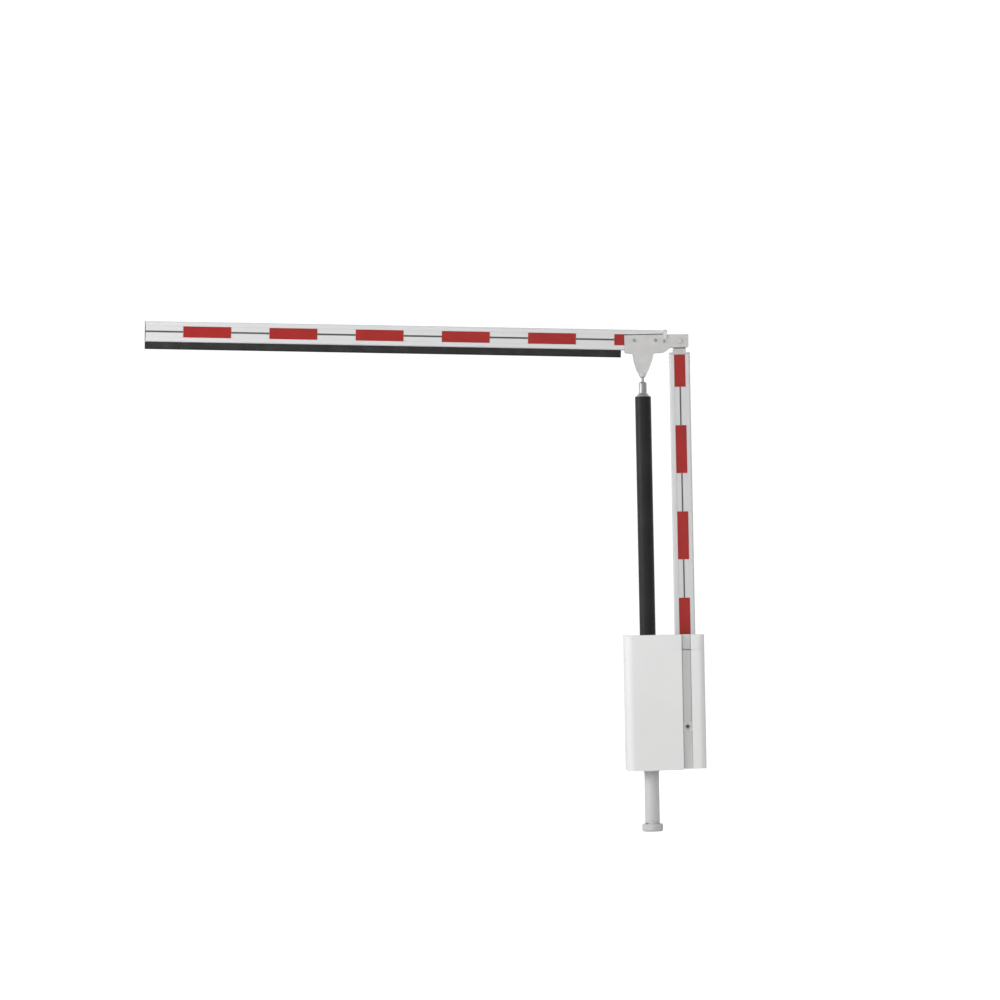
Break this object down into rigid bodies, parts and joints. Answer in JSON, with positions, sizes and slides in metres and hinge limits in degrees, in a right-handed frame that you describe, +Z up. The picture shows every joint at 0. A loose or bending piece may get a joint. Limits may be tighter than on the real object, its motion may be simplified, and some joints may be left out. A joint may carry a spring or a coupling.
{
  "type": "parking barrier gate",
  "caption": "Articulated parking barrier: a cabinet on a round mast drives a knuckle boom whose outer arm stays level while the inner arm swings down.",
  "frame": {"origin": "centre of the foot flange's underside, on the mast's axis", "axes": "+Z up the mast; +X from the mast towards the boom hub, so the outer boom reaches out to -X; -Y is the door side of the cabinet and the boom hangs behind it at +Y"},
  "size_m": [2.7674, 0.395, 2.6001],
  "materials": {
    "white_coat": "fine powder coat, satin",
    "grey_coat": "powder coat, satin",
    "boom_white": "white powder coat on an extrusion",
    "red_reflector": "reflective film",
    "black_rubber": "matt",
    "black_coat": "black powder coat on a tube",
    "zinc_steel": "zinc plated",
    "bright_steel": "turned, bright",
    "cast_aluminium": "fine cast, grey",
    "light_cast": "cast, light grey",
    "motor_paint": "machine enamel",
    "dark_plastic": "matt",
    "light_plastic": "matt"
  },
  "bodies": {
    "base": {"foot_flange": "grey_coat", "mast": "grey_coat", "mast_collar": "light_plastic", "mast_cap": "dark_plastic", "housing": "white_coat", "side_column": "white_coat", "column_head": "white_coat", "top_lid": "white_coat", "bottom_plate": "white_coat", "chassis_plate": "zinc_steel", "mast_clamp_lower": "cast_aluminium", "mast_clamp_upper": "cast_aluminium", "bearing_front": "cast_aluminium", "bearing_rear": "cast_aluminium", "gearbox": "motor_paint", "motor": "motor_paint", "torsion_spring": "zinc_steel", "limit_switch": "dark_plastic", "control_unit": "light_plastic", "power_supply": "zinc_steel", "terminal_block": "dark_plastic", "link_anchor": "cast_aluminium", "link_anchor_pin": "zinc_steel", "hinge_lower_fixed": "zinc_steel", "hinge_upper_fixed": "zinc_steel"},
    "arm": {"main_shaft": "zinc_steel", "drive_gear": "zinc_steel", "limit_cam": "dark_plastic", "boom_holder": "grey_coat", "boom_clamp": "grey_coat", "inner_boom": "boom_white", "inner_boom_head": "light_cast", "inner_stripe_1": "red_reflector", "inner_stripe_2": "red_reflector", "inner_stripe_3": "red_reflector", "inner_stripe_4": "red_reflector"},
    "outer": {"outer_boom": "boom_white", "boom_tip_cap": "dark_plastic", "boom_heel_cap": "boom_white", "rubber_edge": "black_rubber", "elbow_bracket_front": "cast_aluminium", "elbow_bracket_rear": "cast_aluminium", "elbow_pin": "zinc_steel", "link_top_pin": "zinc_steel", "outer_stripe_1": "red_reflector", "outer_stripe_2": "red_reflector", "outer_stripe_3": "red_reflector", "outer_stripe_4": "red_reflector", "outer_stripe_5": "red_reflector", "outer_stripe_6": "red_reflector"},
    "link": {"link_tube": "black_coat", "link_end_top": "bright_steel", "link_end_bottom": "bright_steel"},
    "pinion": {"drive_pinion": "zinc_steel"},
    "door": {"door_panel": "white_coat", "hinge_lower_door": "zinc_steel", "hinge_upper_door": "zinc_steel"},
    "lock": {"lock_cylinder": "bright_steel"}
  },
  "joints": [
    {"name": "hub_swing", "type": "hinge", "parent": "base", "child": "arm", "pos_m": [0.187, 0.205, 0.843], "axis": [0, -1, 0], "range_deg": [0, 90]},
    {"name": "elbow_fold", "type": "hinge", "parent": "arm", "child": "outer", "pos_m": [0.187, 0.205, 2.448], "axis": [0, -1, 0], "range_deg": [-90, 0]},
    {"name": "link_swing", "type": "hinge", "parent": "base", "child": "link", "pos_m": [0, 0.205, 0.676], "axis": [0, -1, 0], "range_deg": [0, 90]},
    {"name": "pinion_spin", "type": "hinge", "parent": "base", "child": "pinion", "pos_m": [0.187, 0.097, 0.74925], "axis": [0, -1, 0], "range_deg": [-360, 0]},
    {"name": "door_swing", "type": "hinge", "parent": "base", "child": "door", "pos_m": [-0.1265, -0.07, 0.306], "axis": [0, 0, -1], "range_deg": [0, 110]},
    {"name": "lock_turn", "type": "hinge", "parent": "base", "child": "lock", "pos_m": [0.18, -0.128, 0.521], "axis": [0, 1, 0], "range_deg": [0, 90]}
  ],
  "couplings": [
    {"joint": "elbow_fold", "follows": "hub_swing", "ratio": -1},
    {"joint": "link_swing", "follows": "hub_swing", "ratio": 1},
    {"joint": "pinion_spin", "follows": "hub_swing", "ratio": -4}
  ]
}
